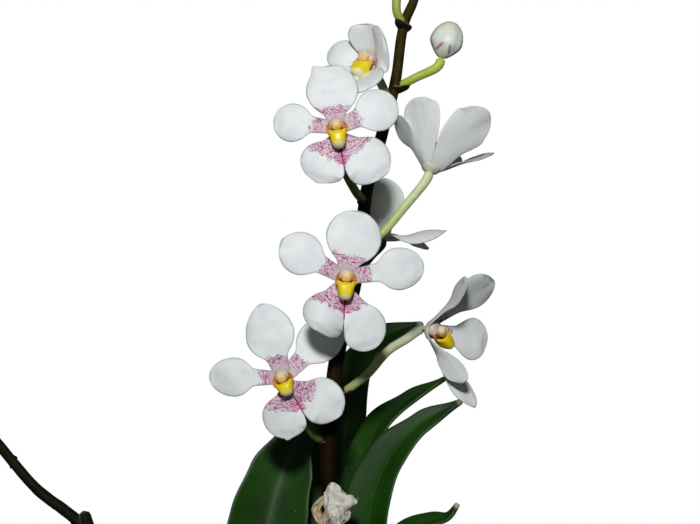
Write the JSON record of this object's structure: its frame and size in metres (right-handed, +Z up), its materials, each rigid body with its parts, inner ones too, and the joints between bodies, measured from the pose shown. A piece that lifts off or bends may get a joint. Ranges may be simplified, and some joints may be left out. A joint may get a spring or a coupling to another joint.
{
  "type": "potted sarcochilus orchid",
  "caption": "Small orchid in a plain clay pot: channelled leaves, a dark raceme of white blooms with magenta-marked bases and yellow lips, buds, and a bare spent raceme.",
  "frame": {"origin": "middle of the pot's flat underside", "axes": "+Z up along the pot's axis; the blooms that show their faces look towards -Y"},
  "size_m": [0.1852, 0.1273, 0.3001],
  "materials": {
    "clay": "matte",
    "bark": "matte",
    "stem": "satin",
    "leaf": "gloss",
    "rachis": "satin",
    "pedicel": "satin",
    "tepal": "satin",
    "lip": "satin",
    "bud": "satin",
    "withered": "matte"
  },
  "bodies": {
    "root": {"pot": "clay", "bark_bed": "bark", "stem_a": "stem", "stem_b": "stem", "stem_c": "stem", "leaf_a1": "leaf", "leaf_a2": "leaf", "leaf_a3": "leaf", "leaf_a4": "leaf", "leaf_a5": "leaf", "leaf_a6": "leaf", "leaf_b1": "leaf", "leaf_b2": "leaf", "leaf_b3": "leaf", "leaf_b4": "leaf", "leaf_c1": "leaf", "leaf_c2": "leaf", "leaf_c3": "leaf", "leaf_c4": "leaf", "raceme_main": "rachis", "raceme_spent": "rachis", "bloom_a": "tepal", "lip_a": "lip", "bloom_b": "tepal", "lip_b": "lip", "bloom_c": "tepal", "lip_c": "lip", "bloom_d": "tepal", "lip_d": "lip", "bloom_f": "tepal", "lip_f": "lip", "bloom_g": "tepal", "lip_g": "lip", "bloom_h": "tepal", "lip_h": "lip", "bud_e": "bud", "bud_i": "bud", "bud_j": "bud", "pedicel_a": "pedicel", "pedicel_b": "pedicel", "pedicel_c": "pedicel", "pedicel_d": "pedicel", "pedicel_f": "pedicel", "pedicel_g": "pedicel", "pedicel_h": "pedicel", "pedicel_e": "pedicel", "pedicel_i": "pedicel", "pedicel_j": "pedicel", "withered_bloom": "withered"}
  },
  "joints": []
}
